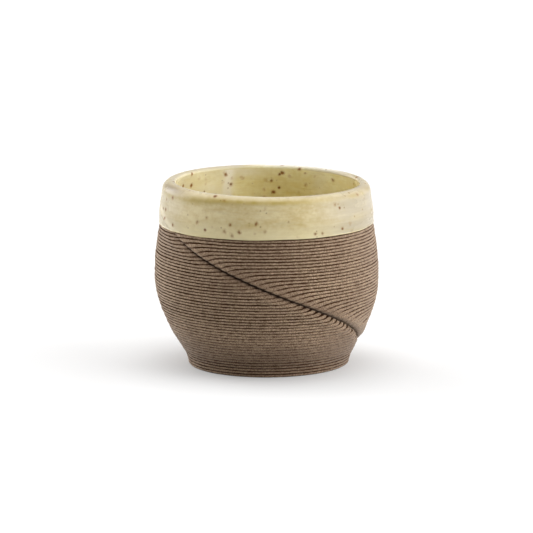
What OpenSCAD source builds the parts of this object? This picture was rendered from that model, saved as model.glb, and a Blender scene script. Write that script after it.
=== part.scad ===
// Espresso cup without a handle, printed in clay, with a fold that winds round the wall and a glazed rim.
// Millimetres. The origin is on the cup's axis at the underside of its foot, +Z is up and -Y is the front.
// Angles round the cup are in degrees from the front, positive towards +X.

/* [Cup] */
// Height from the table to the top of the lip
height = 56; // [52:0.5:62]
// Outside radius at the widest part of the belly
belly_r = 33.9; // [32.5:0.1:37]
// Height of the widest part of the belly
belly_z = 27.5; // [25:0.1:32]
// Outside radius of the foot, at the table
foot_r = 24.1; // [21:0.1:26]
// How far the foot sits off the axis, towards +X
foot_shift = 0.7; // [0:0.1:0.8]
// Outside radius of the clay at the lower edge of the glaze
neck_r = 32.2; // [31:0.1:33]
// Outside radius of the clay at its top edge, under the lip
clay_rim_r = 30.5; // [29.5:0.1:31.5]

/* [Clay] */
// Height of one printed layer after firing
layer_h = 0.92; // [0.7:0.01:1.1]
// Number of printed layers in the floor
floor_layers = 3; // [2:1:4]
// Wall thickness at the table
wall_foot_t = 3.4; // [3:0.1:4.5]
// Wall thickness at the rim
wall_rim_t = 2.2; // [1.8:0.1:2.8]

/* [Fold] */
// Height of the fold at the front of the cup
fold_front_z = 28.25; // [25:0.05:30]
// Drop of the fold for each degree round the cup
fold_drop = 0.249; // [0.2:0.001:0.28]
// Height at which the fold levels out on the side where it runs low
fold_level_z = 7; // [6:0.1:9]
// How far the upper edge of the fold stands out of the wall
fold_lip = 0.8; // [0.4:0.1:1.4]
// How deep the crease under that edge goes into the wall
fold_depth = 1.2; // [0.6:0.1:1.5]
// How far the wall swells below the crease
fold_swell = 0.4; // [0:0.1:0.8]
// How far the wall above the fold swells out on the side where the fold runs low
side_swell = 0.6; // [0:0.1:1]

/* [Glaze] */
// Height of the lower edge of the glaze outside
glaze_z = 43.3; // [40:0.1:46]
// Thickness of the glaze band outside
collar_t = 0.7; // [0.5:0.05:1]
// Thickness of the glaze at its lower edge
collar_edge_t = 0.25; // [0.2:0.05:0.4]
// Thickness of the glaze lining inside
lining_t = 0.35; // [0.3:0.05:0.6]
// Height and width of the glaze cove between the inside wall and floor
cove = 3; // [2:0.5:5]
// How far the rim glaze reaches down inside the lip
collar_drop = 5; // [3:0.5:7]
// Half height of the rounded lip
lip_round = 1.6; // [1.3:0.1:2]

/* [Hidden] */

clay_color = [0.52, 0.45, 0.38];
floor_color = [0.48, 0.41, 0.35];
lining_color = [0.78, 0.72, 0.47];
collar_color = [0.84, 0.78, 0.55];

// Heights that follow from the driving sizes
floor_t = floor_layers * layer_h;
glaze_over_clay = 1.1;
clay_top = height - glaze_over_clay;
lip_z = height - lip_round;
lining_top = height - collar_drop;

// Slope of the outside, in radius per height, above the foot and at the glaze edge
foot_flare = 0.28;
cone_slope = 0.52;
neck_slope = -0.19;
floor_edge_r = foot_r + foot_flare * floor_t;

// Steps used for curved outlines and for the folded wall
inside_steps = 18;
collar_steps = 8;
lip_steps = 12;
cove_steps = 6;
wall_columns = 96;
rows_below_fold = 13;
rows_above_fold = 15;
round_fn = 128;

// The fold starts just under the glaze, which gives its first angle, and ends behind the low side
fold_start_z = glaze_z - 0.5;
fold_from = (fold_front_z - fold_start_z) / fold_drop;
fold_to = 150;
// Height over which the fold's fall goes over into its level stretch
fold_bend = 1;
// Degrees over which the fold fades in and out, and heights over which it fades at the glaze and the floor
fold_fade_in = 28;
fold_fade_out = 55;
fold_glaze_fade = 2;
fold_floor_fade = 2;
// Heights over which the wall rolls into the crease, and over which the lip and the swelling reach
lip_roll = 0.8;
shoulder_roll = 1.2;
lip_reach = 3.6;
swell_at = 2.6;
swell_reach = 1.8;
// Angles between which the side swell grows and fades, the height above the fold where it is full, and how
// near the belly's radius it gives way
side_from = 30;
side_full = 80;
side_fade = 105;
side_to = 150;
side_rise = 4;
side_give = 0.8;
// Room beside the fold at which the wall's rows are packed most tightly towards it
packing_room = 10;
// Height at which the foot's shift has faded out
shift_fade_z = 12;

// Smooth step from 0 to 1
function ease(t) = let (c = min(1, max(0, t))) c * c * (3 - 2 * c);

function mix(a, b, t) = a + (b - a) * t;

// Smooth curve of radius over height, from (za, ra) to (zb, rb), with a slope at each end
function curve(z, za, ra, slope_a, zb, rb, slope_b) =
    let (h = zb - za, t = (z - za) / h)
    ra * (2 * t ^ 3 - 3 * t ^ 2 + 1) + slope_a * h * (t ^ 3 - 2 * t ^ 2 + t)
    + rb * (3 * t ^ 2 - 2 * t ^ 3) + slope_b * h * (t ^ 3 - t ^ 2);

// Outside radius of the clay before the fold: foot, belly, shoulder, and a straight neck under the glaze
function clay_r(z) =
    z < floor_t ? foot_r + foot_flare * z
    : z < belly_z ? curve(z, floor_t, floor_edge_r, cone_slope, belly_z, belly_r, 0)
    : z < glaze_z ? curve(z, belly_z, belly_r, 0, glaze_z, neck_r, neck_slope)
    : mix(neck_r, clay_rim_r, (z - glaze_z) / (clay_top - glaze_z));

function wall_t(z) = mix(wall_foot_t, wall_rim_t, z / height);

function inside_r(z) = clay_r(z) - wall_t(z);

// How far the wall's centre is off the axis at a height
function shift_at(z) = foot_shift * (1 - ease((z - floor_t) / (shift_fade_z - floor_t)));

// Heights of the points down the inside of the clay
inside_zs = [for (i = [0 : inside_steps]) mix(floor_t, lining_top, i / inside_steps)];

// Height of the row of points that runs along the fold. Where there is no fold, behind, it climbs back
function fold_z(a) = let (above_level = fold_front_z - fold_drop * a - fold_level_z)
    fold_level_z + fold_bend * ln(1 + exp(above_level / fold_bend));
function fold_row_z(a) = a < fold_to ? fold_z(a)
    : mix(fold_z(fold_to), fold_z(fold_from), ease((a - fold_to) / (fold_from + 360 - fold_to)));

// Strength of the fold, from 0 to 1: it fades in and out round the cup, and at the glaze and the floor
function fold_amount(a, z) = ease((a - fold_from) / fold_fade_in) * ease((fold_to - a) / fold_fade_out)
    * ease((glaze_z - z) / fold_glaze_fade) * ease((z - floor_t) / fold_floor_fade);

// Quarter round from 1 at t = 0 to 0 at t = 1 and beyond
function roll(t) = t < 1 ? 1 - sqrt(1 - (1 - t) ^ 2) : 0;

// What the fold adds to the radius: above it a lip that rolls under into the crease, below it a swelling
// whose shoulder rolls into the same crease
function lip_relief(up) = fold_lip * exp(-(up / lip_reach) ^ 2)
    - (fold_lip + fold_depth) * roll(up / lip_roll);
function shoulder_relief(down) = fold_swell * exp(-((down - swell_at) / swell_reach) ^ 2)
    - fold_depth * roll(down / shoulder_roll);

// What the side swell adds to the radius above the fold, up to the belly
function side_relief(a, z, up) = z > belly_z ? 0
    : side_swell * (1 - exp(-(belly_r - clay_r(z)) / side_give)) * ease(up / side_rise)
    * ease((a - side_from) / (side_full - side_from)) * ease((side_to - a) / (side_to - side_fade));

function wall_point(a, z, relief, up = 0) =
    let (r = clay_r(z) + relief * fold_amount(a, z) + side_relief(a, z, up))
    [r * sin(a) + shift_at(z), -r * cos(a), z];

// Distance of a row from the fold: share is its place from 0 at the fold to 1 at the end of the room there
function packed(share, room) = room * share ^ (1 + min(1, room / packing_room));

// One column of the wall's outside: from the floor to the fold, on to the glaze edge, and to the clay's top
function wall_column(a) = let (crease = fold_row_z(a)) concat(
    [for (i = [rows_below_fold : -1 : 0])
        let (down = packed(i / rows_below_fold, crease - floor_t))
        wall_point(a, crease - down, shoulder_relief(down))],
    [for (i = [1 : rows_above_fold])
        let (up = packed(i / rows_above_fold, glaze_z - crease))
        wall_point(a, crease + up, lip_relief(up), up)],
    [wall_point(a, clay_top, 0)]);

// The folded outside of the wall as one closed body, hollow only once the inside is cut out of it
module wall_block() {
    rows = rows_below_fold + rows_above_fold + 2;
    points = [for (c = [0 : wall_columns - 1]) each wall_column(fold_from + 360 * c / wall_columns)];
    function at(c, row) = (c % wall_columns) * rows + row;
    sides = [for (c = [0 : wall_columns - 1], row = [0 : rows - 2])
        each [[at(c, row), at(c, row + 1), at(c + 1, row + 1)],
              [at(c, row), at(c + 1, row + 1), at(c + 1, row)]]];
    underside = [for (c = [0 : wall_columns - 1]) at(c, 0)];
    top = [for (c = [wall_columns - 1 : -1 : 0]) at(c, rows - 1)];
    polyhedron(points, concat(sides, [underside, top]));
}

// The space inside the clay, open at the top
module inside_space() {
    above = 1;
    outline = concat(
        [[0, floor_t - above], [inside_r(floor_t), floor_t - above]],
        [for (z = inside_zs) [inside_r(z), z]],
        [[inside_r(clay_top), clay_top], [inside_r(clay_top), clay_top + above], [0, clay_top + above]]);
    rotate_extrude($fn = round_fn) polygon(outline);
}

module floor_slab() {
    color(floor_color)
        translate([foot_shift, 0, 0])
            cylinder(h = floor_t, r1 = foot_r, r2 = floor_edge_r, $fn = round_fn);
}

module clay_wall() {
    color(clay_color)
        difference() {
            wall_block();
            inside_space();
        }
}

// Glaze poured inside: it lies on the floor and the inside of the wall, and thickens to a cove between them
module glaze_lining() {
    lining_floor = floor_t + lining_t;
    cove_top = lining_floor + cove;
    function cove_t(z) = cove * (1 - (z - lining_floor) / cove) ^ 2;
    outline = concat(
        [[0, floor_t]],
        [for (z = inside_zs) [inside_r(z), z]],
        [for (i = [inside_steps : -1 : 0]) let (z = inside_zs[i])
            if (z > cove_top) [inside_r(z) - lining_t, z]],
        [for (i = [cove_steps : -1 : 0]) let (z = mix(lining_floor, cove_top, i / cove_steps))
            [inside_r(z) - lining_t - cove_t(z), z]],
        [[0, lining_floor]]);
    color(lining_color)
        rotate_extrude($fn = round_fn) polygon(outline);
}

// Glaze dipped over the rim: the band outside, the rounded lip and a short way down the inside
module glaze_collar() {
    thickening = 4;
    function band_r(z) = clay_r(z) + mix(collar_edge_t, collar_t, ease((z - glaze_z) / thickening));
    function bore_r(z) = inside_r(z) - lining_t;
    lip_mid_r = (band_r(lip_z) + bore_r(lip_z)) / 2;
    lip_half_w = (band_r(lip_z) - bore_r(lip_z)) / 2;
    outline = concat(
        [for (i = [0 : collar_steps - 1]) let (z = mix(glaze_z, lip_z, i / collar_steps)) [band_r(z), z]],
        [for (i = [0 : lip_steps]) let (turn = 180 * i / lip_steps)
            [lip_mid_r + lip_half_w * cos(turn), lip_z + lip_round * sin(turn)]],
        [[bore_r(lining_top), lining_top], [inside_r(lining_top), lining_top]],
        [[inside_r(clay_top), clay_top], [clay_r(clay_top), clay_top], [clay_r(glaze_z), glaze_z]]);
    color(collar_color)
        rotate_extrude($fn = round_fn) polygon(outline);
}

floor_slab();
clay_wall();
glaze_lining();
glaze_collar();
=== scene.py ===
"""Looks of a small espresso cup of printed clay: ribbed bare wall with a fold, glazed rim and inside."""
import math

import bmesh
import bpy
import numpy as np
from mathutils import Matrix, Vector


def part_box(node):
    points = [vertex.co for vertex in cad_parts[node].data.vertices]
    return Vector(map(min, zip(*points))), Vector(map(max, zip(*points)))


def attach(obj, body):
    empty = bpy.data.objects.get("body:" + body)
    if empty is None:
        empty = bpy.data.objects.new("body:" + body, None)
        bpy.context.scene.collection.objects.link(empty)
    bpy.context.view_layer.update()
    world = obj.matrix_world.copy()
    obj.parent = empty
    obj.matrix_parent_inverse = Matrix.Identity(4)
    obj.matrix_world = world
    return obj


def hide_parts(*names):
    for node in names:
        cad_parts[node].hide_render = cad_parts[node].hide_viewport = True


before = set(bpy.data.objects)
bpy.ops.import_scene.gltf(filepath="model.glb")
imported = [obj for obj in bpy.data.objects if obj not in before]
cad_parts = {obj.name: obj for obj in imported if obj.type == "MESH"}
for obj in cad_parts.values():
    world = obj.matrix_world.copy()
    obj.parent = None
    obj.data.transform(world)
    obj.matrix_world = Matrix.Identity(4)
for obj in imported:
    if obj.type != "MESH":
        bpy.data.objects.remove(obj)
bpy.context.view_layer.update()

# Lengths are in millimetres and angles in degrees from the front, positive to the right, unless another
# unit is named. Pairs for rise() give its start and where it is full. Rows for patch() give strength, angle
# and width.
MM = 0.001

# Sizes taken from the frame
FLOOR_LOW, FLOOR_HIGH = (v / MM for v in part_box("floor_slab"))
COLLAR_LOW, COLLAR_HIGH = (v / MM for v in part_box("glaze_collar"))
HEIGHT = COLLAR_HIGH.z
FLOOR_T = FLOOR_HIGH.z
GLAZE_Z = COLLAR_LOW.z
CLAY_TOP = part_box("clay_wall")[1].z / MM
LINING_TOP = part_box("glaze_lining")[1].z / MM
FOOT_SHIFT = (FLOOR_LOW.x + FLOOR_HIGH.x) / 2
FLOOR_EDGE_R = (FLOOR_HIGH.x - FLOOR_LOW.x) / 2

# Outline of the clay: radii, heights, wall thicknesses, and slopes in radius per height
BELLY_R, BELLY_Z = 33.9, 27.5
FOOT_FLARE, CONE_SLOPE = 0.28, 0.52
NECK_R, NECK_SLOPE = 32.2, -0.19
CLAY_RIM_R = 30.5
WALL_FOOT_T, WALL_RIM_T = 3.4, 2.2

# The foot: its offset to the back, the height where that has faded out, how far it is out of round, where
# it is widest, the radius from which that is full, and the hollow in the cone above it
FOOT_BACK, SHIFT_FADE_Z = 0.5, 12.0
FOOT_OVAL, FOOT_OVAL_AT, FOOT_OVAL_R = 0.5, -62.0, 20.0
HOLLOW, HOLLOW_Z, HOLLOW_REACH = 0.25, 3.5, 4.5

# How far the rim has sunk, and where most
RIM_SAG, RIM_SAG_AT = 0.28, 105.0

# Printed layers: how many the floor has, the height of one, the depth and shape of the grooves, and how far
# crests stay inside the outline
FLOOR_LAYERS = 3
LAYER = FLOOR_T / FLOOR_LAYERS
GROOVE, GROOVE_SHARPNESS = 0.3, 2.5
CREST_INSET = 0.03

# Columns round the floor and the glaze, in degrees
ROUND = np.linspace(0.0, 360.0, 288, endpoint=False)[None, :]

# Points of a mesh that lie nearer than this, in metres, become one
WELD = 1e-7


def ease(t):
    """Smooth step from 0 at t = 0 to 1 at t = 1."""
    t = np.clip(t, 0.0, 1.0)
    return t * t * (3.0 - 2.0 * t)


def rise(x, start, full):
    """Smooth step from 0 at start to 1 at full, which may lie below start."""
    return ease((x - start) / (full - start))


def mix(a, b, t):
    """a at t = 0, b at t = 1."""
    return a + (b - a) * t


def bell(x, width):
    """1 at x = 0, falling off either way."""
    return np.exp(-(x / width) ** 2)


def roll(t):
    """Quarter round from 1 at t = 0 to 0 at t = 1 and beyond."""
    t = np.clip(t, 0.0, 1.0)
    return 1.0 - np.sqrt(1.0 - (1.0 - t) ** 2)


def curve(z, za, ra, slope_a, zb, rb, slope_b):
    """Smooth curve of radius over height with a slope at each end."""
    h = zb - za
    t = (z - za) / h
    return (ra * (2 * t**3 - 3 * t**2 + 1) + slope_a * h * (t**3 - 2 * t**2 + t)
            + rb * (3 * t**2 - 2 * t**3) + slope_b * h * (t**3 - t**2))


def from_front(angle):
    """The same angle, counted from the front either way."""
    return (angle + 180.0) % 360.0 - 180.0


def patch(angle, strength, middle, width):
    """A soft patch at an angle, falling off either way round the cup."""
    return strength * bell(from_front(angle - middle), width)


def patches(angle, rows):
    """Soft patches added up."""
    return sum(patch(angle, *row) for row in rows)


def waves(angle, rows, turn=1.0):
    """Waves round the cup added up. Each row has a count, a height and a start, which turn multiplies."""
    a = np.radians(angle)
    return sum(height * np.sin(count * a + start * turn) for count, height, start in rows)


# Where a right side has given way at the back
RIGHT_END = (170.0, 130.0)


def right_side(angle, start, full):
    """0 up to start, 1 from full, in degrees to the right of the front, and 0 again at the back."""
    a = from_front(angle)
    return rise(a, start, full) * rise(a, *RIGHT_END)


# Outline and points


def clay_r(z):
    """Outside radius of the clay at a height, without ridges or fold."""
    z = np.asarray(z, float)
    foot = FLOOR_EDGE_R - FOOT_FLARE * (FLOOR_T - z)
    bowl = curve(z, FLOOR_T, FLOOR_EDGE_R, CONE_SLOPE, BELLY_Z, BELLY_R, 0.0)
    shoulder = curve(z, BELLY_Z, BELLY_R, 0.0, GLAZE_Z, NECK_R, NECK_SLOPE)
    neck = mix(NECK_R, CLAY_RIM_R, (z - GLAZE_Z) / (CLAY_TOP - GLAZE_Z))
    hollow = HOLLOW * bell(z - HOLLOW_Z, HOLLOW_REACH)
    return np.select([z < FLOOR_T, z < BELLY_Z, z < GLAZE_Z], [foot, bowl, shoulder], neck) - hollow


def inside_r(z):
    """Inside radius of the clay at a height."""
    return clay_r(z) - mix(WALL_FOOT_T, WALL_RIM_T, np.asarray(z, float) / HEIGHT)


def lean_at(z):
    """How much of the foot's offset from the axis is left in the wall at a height, from 1 to 0."""
    return rise(z, SHIFT_FADE_Z, FLOOR_T)


def sag_at(angle, z):
    """How far the rim has sunk, most at the right and nothing below the glaze."""
    lean = 1.0 + np.cos(np.radians(angle - RIM_SAG_AT))
    return -RIM_SAG * lean * rise(z, GLAZE_Z, HEIGHT)


def oval_at(angle, z):
    """How far the foot is out of round."""
    return FOOT_OVAL * np.cos(2.0 * np.radians(angle - FOOT_OVAL_AT)) * rise(z, SHIFT_FADE_Z, 0.0)


def around(angle, r, z, shift=0.0, lean=0.0):
    """Points in metres from angles, radii and heights.

    shift moves them to the right, and lean is the share of the foot's offset that they take part in.
    """
    a = np.radians(angle)
    r = r + oval_at(angle, z) * np.clip(r / FOOT_OVAL_R, 0.0, 1.0)
    x = r * np.sin(a) + shift + lean * FOOT_SHIFT
    y = -r * np.cos(a) + lean * FOOT_BACK
    return np.stack([x + 0.0 * z, y + 0.0 * z, z + sag_at(angle, z)], axis=-1) * MM


def grid_mesh(name, points, values, sharp=180.0):
    """A closed mesh from rows of points: each row closes on itself, and the last row joins the first.

    values are the marks of its points by name. Edges that bend by more than sharp are not smoothed over.
    """
    rows, columns = points.shape[:2]
    index = np.arange(rows * columns).reshape(rows, columns)
    right = np.roll(index, -1, axis=1)
    faces = np.stack([index, right, np.roll(right, -1, axis=0), np.roll(index, -1, axis=0)], axis=-1)
    mesh = bpy.data.meshes.new(name)
    mesh.from_pydata(points.reshape(-1, 3).tolist(), [], faces.reshape(-1, 4).tolist())
    for key, value in values.items():
        layer = mesh.attributes.new(key, "FLOAT", "POINT")
        layer.data.foreach_set("value", np.broadcast_to(value, (rows, columns)).astype(np.float32).ravel())
    work = bmesh.new()
    work.from_mesh(mesh)
    bmesh.ops.remove_doubles(work, verts=work.verts, dist=WELD)
    bmesh.ops.recalc_face_normals(work, faces=work.faces)
    for face in work.faces:
        face.smooth = True
    work.to_mesh(mesh)
    work.free()
    mesh.set_sharp_from_angle(angle=math.radians(sharp))
    piece = bpy.data.objects.new(name, mesh)
    bpy.context.scene.collection.objects.link(piece)
    return piece


def place(piece, node, material):
    """Give a piece its material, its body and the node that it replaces."""
    piece.data.materials.append(material)
    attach(piece, "root")
    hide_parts(node)


# Ridges of the printed layers

# Places of a layer's rows of points, as shares of its height
PHASES = np.array([0.0, 0.1, 0.28, 0.5, 0.72, 0.9])

# Where the wall slopes out above the foot, and the share of the grooves' depth that is lost there
SLOPE_LOW, SLOPE_HIGH, SLOPE_LOSS = (3.8, 5.3), (21.0, 9.0), 0.45

# Waves in a layer's radius, started by its own turn, and how much its radius and height vary as a whole
WOBBLES, OWN_RADIUS = ((3.0, 0.05, 1.0), (7.0, 0.03, 1.7), (17.0, 0.025, 2.3)), 0.06
DRIFTS, OWN_HEIGHT = ((2.0, 0.05, 0.4), (5.0, 0.03, 1.3)), 0.08

# Numbers that scatter layer_chance, and what keeps its uses apart
SCATTER_LAYER, SCATTER_SALT, SCATTER = 12.9898, 78.233, 43758.5453
TURN_SALT, RADIUS_SALT, HEIGHT_SALT, RIPPLE_SALT = 1.0, 2.0, 3.0, 4.0


def layer_rows(first, last):
    """Rows of points over whole layers: height in layers, number of the layer, share of the groove."""
    layers = np.arange(first, last)
    height = np.append((layers[:, None] + PHASES).ravel(), last)
    phase = np.append(np.tile(PHASES, len(layers)), 0.0)
    groove = np.abs(2.0 * phase - 1.0) ** GROOVE_SHARPNESS
    return height[:, None], np.floor(height)[:, None], groove[:, None]


def groove_depth(z):
    """Depth of the grooves at a height: shallower where the wall slopes out above the foot."""
    return GROOVE * (1.0 - SLOPE_LOSS * rise(z, *SLOPE_LOW) * rise(z, *SLOPE_HIGH))


def layer_chance(layer, salt):
    """A number from 0 to 1 for each layer, the same each time."""
    seed = np.sin(layer * SCATTER_LAYER + salt * SCATTER_SALT) * SCATTER
    return seed - np.floor(seed)


def layer_wobble(angle, layer):
    """Slow unevenness of each layer's radius."""
    turn = 2.0 * math.pi * layer_chance(layer, TURN_SALT)
    return waves(angle, WOBBLES, turn) + OWN_RADIUS * (layer_chance(layer, RADIUS_SALT) - 0.5)


def layer_drift(angle, layer):
    """How far a layer lies above or below its even place."""
    return OWN_HEIGHT * (layer_chance(layer, HEIGHT_SALT) - 0.5) + waves(angle, DRIFTS)


# Shape of the fold

# Its height at the front, its fall per degree, and the height where it levels out, with the bend there
FOLD_FRONT_Z, FOLD_DROP = 28.25, 0.249
FOLD_LEVEL_Z, FOLD_BEND = 7.0, 1.0

# Where the fold fades, and its crease, which stays deep up to the glaze: at the top, the back and the floor
FOLD_TOP, CREASE_TOP = (GLAZE_Z + 1.0, GLAZE_Z - 4.0), (GLAZE_Z + 0.5, GLAZE_Z - 2.5)
FOLD_BACK, FOLD_FLOOR = (150.0, 95.0), (FLOOR_T, FLOOR_T + 2.0)

# Heights between which the fold's shape goes over from high to low, and for both: how far its lip stands
# out, the height over which that rolls under, and the crease's depth. The lip's reach upwards
FOLD_LOW = (29.0, 11.0)
LIP_HEIGHT, LIP_ROLL, CREASE_DEPTH = (0.5, 0.75), (0.75, 1.9), (0.8, 0.85)
LIP_REACH = 3.6

# The shoulder below the crease: the height over which it rolls in, and its swelling
SHOULDER_ROLL = 0.9
FOLD_SWELL, SWELL_AT, SWELL_REACH = 0.4, 2.6, 1.8

# The notch at the fold's right end: what it adds to the roll and the depth, and takes from the swelling
NOTCH, NOTCH_ROLL, NOTCH_DEPTH, NOTCH_LOSS = (60.0, 85.0), 1.2, 0.4, 0.6

# The swelling above the fold on its low side: how far it stands out, the distance over which it grows, how
# near the belly's radius it gives way, and where it starts and ends round the cup
SIDE_SWELL, SIDE_RISE, SIDE_GIVE = 0.6, (0.0, 4.0), 0.8
SIDE_START, SIDE_END = (30.0, 80.0), (150.0, 105.0)

# How far the fold drags layers, down above it and up below it, high and low on the cup, with reach and
# steepness. The dragging ends where the fold levels out, and in the crease
DRAG_DOWN, DRAG_DOWN_REACH, DRAG_DOWN_FALL = (1.25, 1.9), (2.1, 4.1), 1.5
DRAG_UP, DRAG_UP_REACH, DRAG_UP_FALL = (0.6, 1.25), (2.0, 1.35), 1.3
DRAG_HIGH_Z, DRAG_LOW_Z, DRAG_MOST = 35.0, 18.0, 1.2
DRAG_END, DRAG_CORE = (95.0, 70.0), 0.12

# How far grooves are smoothed on the lip and the shoulder and deepened to teeth at the crease, with the
# reach of each, high and low on the cup
SMOOTH_LOW = (26.0, 17.0)
LIP_SMOOTH, LIP_SMOOTH_REACH = (0.62, 0.93), (1.7, 2.7)
SHOULDER_SMOOTH, SHOULDER_SMOOTH_REACH = (0.25, 0.1), 2.4
TEETH, TEETH_REACH = (0.5, 0.7), (0.4, 0.8)
CREASE_CORE = 0.1


def fold_z(angle):
    """Height of the fold at an angle: an even fall that levels out low on the right side."""
    above_level = FOLD_FRONT_Z - FOLD_DROP * from_front(angle) - FOLD_LEVEL_Z
    return FOLD_LEVEL_Z + FOLD_BEND * np.logaddexp(0.0, above_level / FOLD_BEND)


def fold_amount(angle, z, top=FOLD_TOP):
    """Strength of the fold along its way, from 0 to 1."""
    return rise(from_front(angle), *FOLD_BACK) * rise(z, *top) * rise(z, *FOLD_FLOOR)


def fold_low(z):
    """0 where the fold is high on the cup, 1 where it runs low."""
    return rise(z, *FOLD_LOW)


def fold_pull(angle, z, distance):
    """How far the fold drags a layer along: down above it, up below it, until the fold levels out."""
    slanting = rise(from_front(angle), *DRAG_END)
    low = np.clip((DRAG_HIGH_Z - z) / (DRAG_HIGH_Z - DRAG_LOW_Z), 0.0, DRAG_MOST)
    up, down = np.maximum(distance, 0.0), np.maximum(-distance, 0.0)
    above = -mix(*DRAG_DOWN, low) * np.exp(-(up / mix(*DRAG_DOWN_REACH, low)) ** DRAG_DOWN_FALL)
    below = mix(*DRAG_UP, low**2) * np.exp(-(down / mix(*DRAG_UP_REACH, low)) ** DRAG_UP_FALL)
    pull = np.where(distance > 0.0, above, below) * (1.0 - bell(distance, DRAG_CORE))
    return fold_amount(angle, z) * slanting * pull


def fold_relief(angle, z, distance):
    """What the fold adds to the radius: a lip above that rolls under, and a shoulder below."""
    low, notch = fold_low(z), right_side(angle, *NOTCH)
    lip_roll = mix(*LIP_ROLL, low) + NOTCH_ROLL * notch
    depth = mix(*CREASE_DEPTH, low) + NOTCH_DEPTH * notch
    up, down = np.maximum(distance, 0.0), np.maximum(-distance, 0.0)
    lip = mix(*LIP_HEIGHT, low) * (bell(up, LIP_REACH) - roll(up / lip_roll))
    shoulder = FOLD_SWELL * (1.0 - NOTCH_LOSS * notch) * bell(down - SWELL_AT, SWELL_REACH)
    dip = depth * np.where(distance > 0.0, roll(up / lip_roll), roll(down / SHOULDER_ROLL))
    crease = fold_amount(angle, z, CREASE_TOP) * dip
    return fold_amount(angle, z) * np.where(distance > 0.0, lip, shoulder) - crease


def side_relief(angle, z, distance):
    """What the swelling above the fold on the low side adds to the radius."""
    a = from_front(angle)
    round_cup = rise(a, *SIDE_START) * rise(a, *SIDE_END)
    give = 1.0 - np.exp(-(BELLY_R - clay_r(z)) / SIDE_GIVE)
    return np.where(z < BELLY_Z, SIDE_SWELL * give * rise(distance, *SIDE_RISE) * round_cup, 0.0)


def groove_change(angle, z, distance):
    """How the fold changes the grooves: smoothed on its lip, most of all low down, less on its shoulder."""
    low, amount = rise(z, *SMOOTH_LOW), fold_amount(angle, z)
    lip = mix(*LIP_SMOOTH, low) * bell(distance, mix(*LIP_SMOOTH_REACH, low))
    teeth = mix(*TEETH, low) * bell(distance, mix(*TEETH_REACH, low))
    shoulder = mix(*SHOULDER_SMOOTH, low) * bell(distance, SHOULDER_SMOOTH_REACH) - teeth
    change = 1.0 - amount * np.where(distance > 0.0, lip, shoulder)
    return change * (1.0 - amount * bell(distance, CREASE_CORE))


# Painted shade on the clay

# The crease's painted shade, between the grooves and at them: its half width high and low on the cup, how
# dark it is high up, what it loses of that near the glaze, and how dark it is low down. Where it is a
# little wider
CREASE_WIDE, CREASE_NARROW, TOOTH_SHAPE = (0.4, 0.8), (0.22, 0.52), 0.35
CREASE_DARK, CREASE_LOSS, CREASE_DOTS = (0.78, 0.92), (0.46, 0.22), (0.1, 1.0)
CREASE_HIGH = (36.0, 42.0)
CREASE_WIDER, WIDER_Z, WIDER_REACH = 0.2, 37.0, 4.0

# The painted shade near the table: where it fades upwards, its strength behind and in front, where most,
# how much of it is left at the very foot, and a stronger ring above
TABLE_STAIN, TABLE_SIDES, TABLE_STAIN_AT = (16.0, 2.0), (0.5, 1.0), -25.0
FOOT_STAIN, FOOT_STAIN_Z = (0.76, 1.0), (1.0, 5.0)
RING_STAIN, RING_Z, RING_REACH = 0.3, 9.0, 4.0

# Painted shade left of the middle, under the glaze and at the right
LEFT_STAIN, LEFT_STAIN_Z, LEFT_STAIN_REACH = (0.22, -24.0, 16.0), 25.0, 7.0
GLAZE_STAIN, GLAZE_STAINS = 0.15, ((0.55, 0.0, 26.0), (0.22, -55.0, 20.0))
GLAZE_STAIN_Z = (27.0, 39.0)
RIGHT_STAIN, RIGHT_STAIN_FROM = 0.3, (20.0, 55.0)

# The front, where the clay beside the fold has painted shade: its left end, its right end above and below
# the fold, and over how many degrees that fades
FRONT_LEFT = (-32.0, -12.0)
FRONT_END, FRONT_FADE = (48.0, 26.0), 18.0

# Painted shade beside the fold, above and below it, and its reach. Painted shadow under a high lip, two
# strengths and reaches
FOLD_STAIN, BESIDE_FOLD = (0.8, 0.42), 3.6
UNDER_LIP = ((0.7, 1.2), (0.22, 3.0))

# How much paler the painted groove shade is at the right, above and below the fold, and darker at its teeth
RIGHT_PALE, RIGHT_PALE_FROM = 0.25, (15.0, 55.0)
FOLD_PALE = (0.28, 0.42)
TEETH_DARK, TEETH_DARK_AT, TEETH_DARK_REACH = 0.5, -0.6, 0.8


def crease_mark(angle, z, distance, groove):
    """Painted shade in the crease: wide and toothed by the grooves high up, dots at the grooves low down.
    """
    low, high = fold_low(z), rise(z, *CREASE_HIGH)
    tooth = groove**TOOTH_SHAPE
    wide = mix(*CREASE_WIDE, groove) * (1.0 + CREASE_WIDER * bell(z - WIDER_Z, WIDER_REACH))
    upper = mix(*CREASE_DARK, groove) - high * mix(*CREASE_LOSS, groove)
    strength = fold_amount(angle, z, CREASE_TOP) * mix(upper, mix(*CREASE_DOTS, tooth), low)
    return strength * bell(distance, mix(wide, mix(*CREASE_NARROW, tooth), low))


def table_stain(angle, z):
    """Painted shade near the table, most in front."""
    front = 0.5 + 0.5 * np.cos(np.radians(angle - TABLE_STAIN_AT))
    foot = mix(*FOOT_STAIN, rise(z, *FOOT_STAIN_Z))
    ring = RING_STAIN * bell(z - RING_Z, RING_REACH)
    return rise(z, *TABLE_STAIN) * mix(*TABLE_SIDES, front) * (foot + ring)


def stain_mark(angle, z):
    """Painted shade on the clay: near the table, under the glaze in front, and a little at the sides."""
    left = patch(angle, *LEFT_STAIN) * bell(z - LEFT_STAIN_Z, LEFT_STAIN_REACH)
    glaze = rise(z, *GLAZE_STAIN_Z) * (GLAZE_STAIN + patches(angle, GLAZE_STAINS))
    return table_stain(angle, z) + glaze + left + RIGHT_STAIN * right_side(angle, *RIGHT_STAIN_FROM)


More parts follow.
